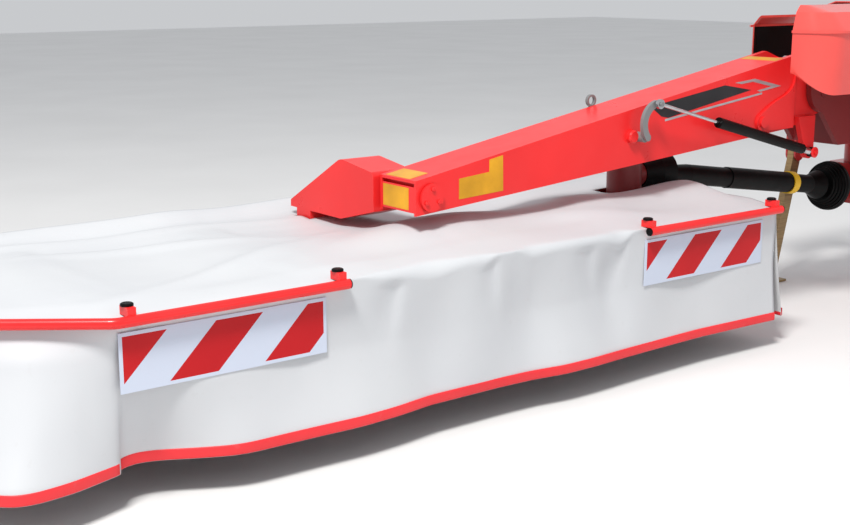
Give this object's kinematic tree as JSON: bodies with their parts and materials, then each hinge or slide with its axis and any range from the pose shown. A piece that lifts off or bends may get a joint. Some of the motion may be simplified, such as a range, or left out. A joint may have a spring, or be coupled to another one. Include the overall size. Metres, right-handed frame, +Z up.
{
  "type": "tractor-mounted disc mower",
  "caption": "Side-mounted disc mower: cutterbar under a white fabric cover, hung at its middle from a folding red arm with a three-point hitch frame.",
  "frame": {"origin": "on the ground under the middle of the parked machine's bounding box", "axes": "+X along the arm from the cutterbar to the hitch frame, +Y rearward against the travel, +Z up"},
  "size_m": [5.248, 1.696, 1.4],
  "materials": {
    "red_paint": "gloss",
    "dark_red_paint": "gloss",
    "bare_steel": "worn",
    "painted_cast": "painted",
    "black_plastic": "satin",
    "cover_fabric": "coated",
    "hem_fabric": "coated",
    "passivated_steel": "passivated",
    "yellow_plastic": "satin",
    "chrome_rod": "polished",
    "grey_paint": "satin",
    "striped_panel": "striped"
  },
  "bodies": {
    "headstock": {"cross_tube": "red_paint", "yoke": "dark_red_paint", "mast": "red_paint", "king_pin": "bare_steel", "hitch_pins": "bare_steel"},
    "leg": {"parking_leg": "passivated_steel"},
    "turret": {"turret": "dark_red_paint", "fold_pin": "bare_steel", "headstock_cover": "red_paint", "hanger": "dark_red_paint", "headstock_gearbox": "dark_red_paint", "input_shaft": "bare_steel"},
    "barrel": {"cylinder_barrel": "black_plastic"},
    "rod": {"cylinder_rod": "chrome_rod"},
    "arm": {"arm": "red_paint", "latch_lever": "grey_paint", "hose_guide": "grey_paint", "strut_bracket": "red_paint", "strut_tube": "black_plastic", "strut_rod": "chrome_rod"},
    "mower": {"pivot_bracket": "red_paint", "tilt_pin": "bare_steel", "rear_beam": "red_paint", "end_supports": "red_paint", "cutterbar_case": "painted_cast", "skid_shoes": "bare_steel", "swath_board": "red_paint", "drive_head": "dark_red_paint", "drive_bell": "black_plastic", "cover_top": "cover_fabric", "cover_carriers": "red_paint", "curtain_front": "cover_fabric", "curtain_corner": "cover_fabric", "curtain_outer": "cover_fabric", "curtain_rear": "cover_fabric", "curtain_rear_corner": "cover_fabric", "curtain_inner": "cover_fabric", "hems": "hem_fabric", "guard_tube_outer": "red_paint", "guard_tube_inner": "red_paint", "guard_tube_rear": "red_paint", "warning_panels": "striped_panel"},
    "shaft_joint": {"shaft_cone": "black_plastic"},
    "shaft": {"shaft_guard": "black_plastic", "guard_ring": "yellow_plastic"},
    "disc_1": {"disc_1": "bare_steel"},
    "disc_2": {"disc_2": "bare_steel"},
    "disc_3": {"disc_3": "bare_steel"},
    "disc_4": {"disc_4": "bare_steel"},
    "disc_5": {"disc_5": "bare_steel"},
    "disc_6": {"disc_6": "bare_steel"},
    "disc_7": {"disc_7": "bare_steel"}
  },
  "joints": [
    {"name": "breakaway", "type": "hinge", "parent": "headstock", "child": "turret", "pos_m": [1.89, -0.07, 0.85], "axis": [0, 0, -1], "range_deg": [0, 15]},
    {"name": "arm_fold", "type": "hinge", "parent": "turret", "child": "arm", "pos_m": [1.33, -0.07, 1.03], "axis": [0, 1, 0], "range_deg": [-12, 126]},
    {"name": "mower_tilt", "type": "hinge", "parent": "arm", "child": "mower", "pos_m": [-0.865, -0.07, 0.766], "axis": [0, 1, 0], "range_deg": [-5, 12]},
    {"name": "leg_swing", "type": "hinge", "parent": "turret", "child": "leg", "pos_m": [1.86, 0.33, 0.64], "axis": [0, -1, 0], "range_deg": [0, 100]},
    {"name": "barrel_swing", "type": "hinge", "parent": "turret", "child": "barrel", "pos_m": [1.78, -0.07, 1], "axis": [0, 1, 0], "range_deg": [-10, 10]},
    {"name": "rod_stroke", "type": "slide", "parent": "barrel", "child": "rod", "axis": [0.9678, 0, -0.2518], "range_m": [-0.05, 0.24]},
    {"name": "shaft_fold", "type": "hinge", "parent": "turret", "child": "shaft_joint", "pos_m": [1.89, 0.14, 0.497], "axis": [0, 1, 0], "range_deg": [-10, 70]},
    {"name": "shaft_tilt", "type": "hinge", "parent": "shaft_joint", "child": "shaft", "pos_m": [1.89, 0.14, 0.497], "axis": [0, 1, 0], "range_deg": [-16, 10]},
    {"name": "disc_1_spin", "type": "hinge", "parent": "mower", "child": "disc_1", "pos_m": [0.43, 0.14, 0.1], "axis": [0, 0, 1], "continuous": true},
    {"name": "disc_2_spin", "type": "hinge", "parent": "mower", "child": "disc_2", "pos_m": [-0.005, 0.14, 0.1], "axis": [0, 0, 1], "continuous": true},
    {"name": "disc_3_spin", "type": "hinge", "parent": "mower", "child": "disc_3", "pos_m": [-0.44, 0.14, 0.1], "axis": [0, 0, 1], "continuous": true},
    {"name": "disc_4_spin", "type": "hinge", "parent": "mower", "child": "disc_4", "pos_m": [-0.875, 0.14, 0.1], "axis": [0, 0, 1], "continuous": true},
    {"name": "disc_5_spin", "type": "hinge", "parent": "mower", "child": "disc_5", "pos_m": [-1.31, 0.14, 0.1], "axis": [0, 0, 1], "continuous": true},
    {"name": "disc_6_spin", "type": "hinge", "parent": "mower", "child": "disc_6", "pos_m": [-1.745, 0.14, 0.1], "axis": [0, 0, 1], "continuous": true},
    {"name": "disc_7_spin", "type": "hinge", "parent": "mower", "child": "disc_7", "pos_m": [-2.18, 0.14, 0.1], "axis": [0, 0, 1], "continuous": true}
  ],
  "couplings": [
    {"joint": "barrel_swing", "follows": "arm_fold", "ratio": -0.01},
    {"joint": "rod_stroke", "follows": "arm_fold", "m_per_rad": 0.1},
    {"joint": "shaft_fold", "follows": "arm_fold", "ratio": 0.513},
    {"joint": "shaft_tilt", "follows": "mower_tilt", "ratio": -1.13},
    {"joint": "disc_2_spin", "follows": "disc_1_spin", "ratio": -1},
    {"joint": "disc_3_spin", "follows": "disc_1_spin", "ratio": 1},
    {"joint": "disc_4_spin", "follows": "disc_1_spin", "ratio": -1},
    {"joint": "disc_5_spin", "follows": "disc_1_spin", "ratio": 1},
    {"joint": "disc_6_spin", "follows": "disc_1_spin", "ratio": -1},
    {"joint": "disc_7_spin", "follows": "disc_1_spin", "ratio": 1}
  ]
}
